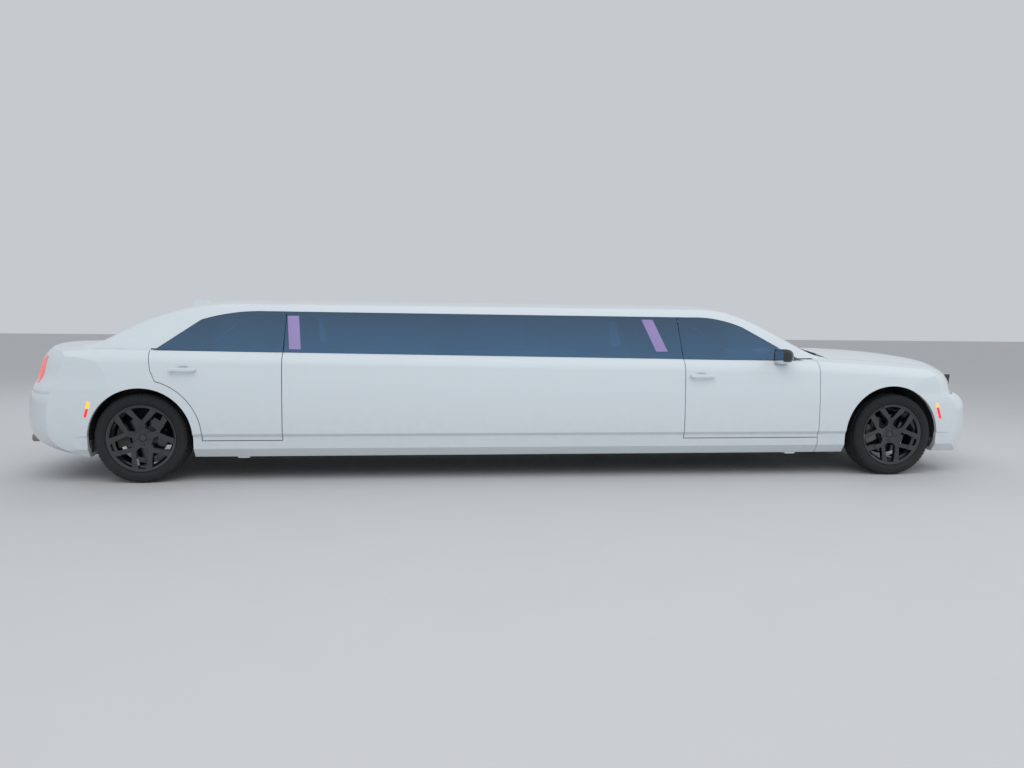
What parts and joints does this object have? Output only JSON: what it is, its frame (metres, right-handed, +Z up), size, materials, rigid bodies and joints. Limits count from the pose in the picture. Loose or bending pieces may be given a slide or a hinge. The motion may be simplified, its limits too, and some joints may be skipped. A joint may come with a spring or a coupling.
{
  "type": "stretch limousine",
  "caption": "Four-door saloon stretched between its doors, with a continuous dark glass band, opening doors, hood and boot, steered and spinning wheels, and a lounge cabin.",
  "frame": {"origin": "on the ground under the middle of the car, by length and width", "axes": "+X forward, +Y to the car's left, +Z up"},
  "size_m": [8.3461, 2.1682, 1.494],
  "materials": {
    "body_paint": "gloss white with a slight pearl",
    "tinted_glass": "deep blue tint",
    "clear_glass": "light tint",
    "black_gloss": "gloss black",
    "black_trim": "matt black",
    "wheel_paint": "gloss black",
    "tyre": "rubber",
    "chassis": "satin black",
    "floor_steel": "satin underbody coat",
    "cast_iron": "as cast",
    "engine_metal": "cast",
    "exhaust_steel": "brushed",
    "lamp_clear": "clear lens",
    "lamp_red": "red lens",
    "marker_lens": "amber over red lens",
    "lit_panel": "lit lavender panel",
    "seat_leather": "black leather",
    "bar_gloss": "gloss black lacquer",
    "mirror": "mirror"
  },
  "bodies": {
    "body": {"bar_console": "bar_gloss", "bulkheads": "floor_steel", "cowl_panel": "black_trim", "dashboard": "black_trim", "driveline": "engine_metal", "engine_block": "engine_metal", "exhaust": "exhaust_steel", "floor_pan": "floor_steel", "fog_lamps": "lamp_clear", "front_bumper": "body_paint", "front_fenders": "body_paint", "front_seats": "seat_leather", "front_subframe": "chassis", "fuel_tank": "floor_steel", "grille": "black_gloss", "headlamps": "lamp_clear", "intake_grille": "black_trim", "lounge_seat": "seat_leather", "pillar_lights": "lit_panel", "quarter_panels": "body_paint", "rear_bumper": "body_paint", "rear_subframe": "chassis", "rear_window": "tinted_glass", "roof_panel": "body_paint", "side_markers": "marker_lens", "side_panels": "body_paint", "side_windows": "tinted_glass", "tail_lamps": "lamp_red", "wheel_liners": "black_trim", "windscreen": "clear_glass"},
    "front_door_left": {"door_front_left": "body_paint", "door_glass_front_left": "tinted_glass", "mirror_glass_left": "mirror"},
    "rear_door_left": {"door_rear_left": "body_paint", "door_glass_rear_left": "tinted_glass"},
    "front_wheel_left": {"wheel_front_left": "wheel_paint", "tyre_front_left": "tyre"},
    "rear_wheel_left": {"wheel_rear_left": "wheel_paint", "tyre_rear_left": "tyre"},
    "steering_knuckle_left": {"knuckle_left": "cast_iron"},
    "front_door_right": {"door_front_right": "body_paint", "door_glass_front_right": "tinted_glass", "mirror_glass_right": "mirror"},
    "rear_door_right": {"door_rear_right": "body_paint", "door_glass_rear_right": "tinted_glass"},
    "front_wheel_right": {"wheel_front_right": "wheel_paint", "tyre_front_right": "tyre"},
    "rear_wheel_right": {"wheel_rear_right": "wheel_paint", "tyre_rear_right": "tyre"},
    "steering_knuckle_right": {"knuckle_right": "cast_iron"},
    "hood_body": {"hood": "body_paint"},
    "lid_body": {"trunk_lid": "body_paint"},
    "steering_wheel_body": {"steering_wheel": "black_trim"}
  },
  "joints": [
    {"name": "front_door_left_swing", "type": "hinge", "parent": "body", "child": "front_door_left", "pos_m": [2.571, 0.95, 0.7], "axis": [0, 0, -1], "range_deg": [0, 65]},
    {"name": "rear_door_left_swing", "type": "hinge", "parent": "body", "child": "rear_door_left", "pos_m": [-1.982, 0.953, 0.7], "axis": [0, 0, -1], "range_deg": [0, 65]},
    {"name": "steer_left", "type": "hinge", "parent": "body", "child": "steering_knuckle_left", "pos_m": [3.272, 0.735, 0.36], "axis": [0, 0, 1], "range_deg": [-33, 33]},
    {"name": "front_wheel_left_spin", "type": "hinge", "parent": "steering_knuckle_left", "child": "front_wheel_left", "pos_m": [3.272, 0.806, 0.36], "axis": [0, 1, 0], "continuous": true},
    {"name": "rear_wheel_left_spin", "type": "hinge", "parent": "body", "child": "rear_wheel_left", "pos_m": [-3.082, 0.806, 0.36], "axis": [0, 1, 0], "continuous": true},
    {"name": "front_door_right_swing", "type": "hinge", "parent": "body", "child": "front_door_right", "pos_m": [2.571, -0.95, 0.7], "axis": [0, 0, 1], "range_deg": [0, 65]},
    {"name": "rear_door_right_swing", "type": "hinge", "parent": "body", "child": "rear_door_right", "pos_m": [-1.982, -0.953, 0.7], "axis": [0, 0, 1], "range_deg": [0, 65]},
    {"name": "steer_right", "type": "hinge", "parent": "body", "child": "steering_knuckle_right", "pos_m": [3.272, -0.735, 0.36], "axis": [0, 0, 1], "range_deg": [-33, 33]},
    {"name": "front_wheel_right_spin", "type": "hinge", "parent": "steering_knuckle_right", "child": "front_wheel_right", "pos_m": [3.272, -0.806, 0.36], "axis": [0, 1, 0], "continuous": true},
    {"name": "rear_wheel_right_spin", "type": "hinge", "parent": "body", "child": "rear_wheel_right", "pos_m": [-3.082, -0.806, 0.36], "axis": [0, 1, 0], "continuous": true},
    {"name": "hood_lift", "type": "hinge", "parent": "body", "child": "hood_body", "pos_m": [2.738, 0, 1.098], "axis": [0, -1, 0], "range_deg": [0, 60]},
    {"name": "lid_lift", "type": "hinge", "parent": "body", "child": "lid_body", "pos_m": [-3.573, 0, 1.126], "axis": [0, 1, 0], "range_deg": [0, 75]},
    {"name": "steering_wheel_turn", "type": "hinge", "parent": "body", "child": "steering_wheel_body", "pos_m": [1.985, 0.385, 0.905], "axis": [-0.9135, 0, 0.4067], "range_deg": [-400, 400]}
  ],
  "couplings": [
    {"joint": "steer_right", "follows": "steer_left", "ratio": 1},
    {"joint": "steering_wheel_turn", "follows": "steer_left", "ratio": 12}
  ]
}
